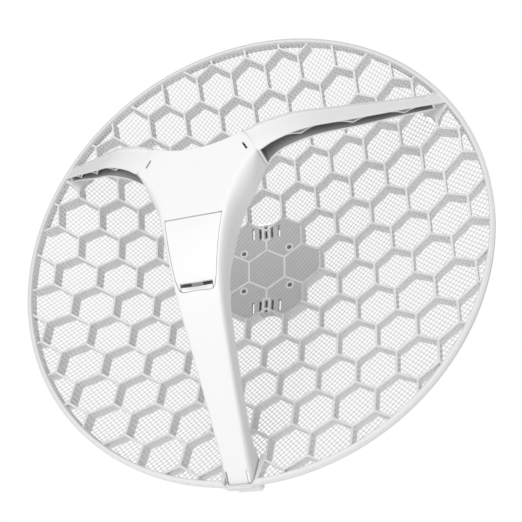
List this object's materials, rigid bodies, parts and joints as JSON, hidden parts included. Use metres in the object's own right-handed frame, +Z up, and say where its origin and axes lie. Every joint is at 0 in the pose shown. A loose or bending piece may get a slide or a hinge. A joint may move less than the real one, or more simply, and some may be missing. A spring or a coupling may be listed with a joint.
{
  "type": "parabolic grid antenna",
  "caption": "Round dish of hexagonal ribs and fine screen, with a white feed head held in front of it by two side arms and a wide lower arm that has a small door for the cable socket.",
  "frame": {"origin": "middle of the flat rear mounting face, which lies on the dish's axis", "axes": "+Z up as the antenna hangs, with the wide arm at the bottom; -Y points out of the dish towards the feed head and the far station; +X is to the right as seen from in front"},
  "size_m": [0.391, 0.1708, 0.3935],
  "materials": {
    "dish_casting": "satin light grey",
    "white_plastic": "fine satin white",
    "circuit_board": "solder mask green",
    "tinned_steel": "tinned",
    "dark_plastic": "matt",
    "brass_sheet": "rolled",
    "aluminium_sheet": "rolled"
  },
  "bodies": {
    "antenna": {"reflector": "dish_casting", "front_shell": "white_plastic", "right_arm": "white_plastic", "left_arm": "white_plastic", "rear_cover": "white_plastic", "patch_post_1": "white_plastic", "patch_post_2": "white_plastic", "patch_post_3": "white_plastic", "patch_post_4": "white_plastic", "main_board": "circuit_board", "ethernet_jack": "tinned_steel", "cpu_shield": "tinned_steel", "radio_shield": "tinned_steel", "reset_switch": "tinned_steel", "board_screw_1": "tinned_steel", "board_screw_2": "tinned_steel", "board_screw_3": "tinned_steel", "board_screw_4": "tinned_steel", "cover_screw_1": "tinned_steel", "cover_screw_2": "tinned_steel", "cover_screw_3": "tinned_steel", "cover_screw_4": "tinned_steel", "lan_transformer": "dark_plastic", "power_inductor": "dark_plastic", "driven_patch": "brass_sheet", "parasitic_patch": "brass_sheet", "feed_pin_1": "brass_sheet", "feed_pin_2": "brass_sheet", "feed_ground_plate": "aluminium_sheet"},
    "door": {"port_door": "white_plastic"},
    "latch": {"door_latch": "white_plastic"},
    "button": {"reset_button": "dark_plastic"}
  },
  "joints": [
    {"name": "door_hinge", "type": "hinge", "parent": "antenna", "child": "door", "pos_m": [0, -0.1693, -0.0324], "axis": [-1, 0, 0], "range_deg": [0, 95]},
    {"name": "latch_slide", "type": "slide", "parent": "door", "child": "latch", "axis": [0, 0, 1], "range_m": [0, 0.0015], "stiffness_N_per_m": 300, "springref_m": -0.002},
    {"name": "reset_press", "type": "slide", "parent": "antenna", "child": "button", "axis": [0, 1, 0], "range_m": [0, 0.0004], "stiffness_N_per_m": 400, "springref_m": -0.001}
  ]
}
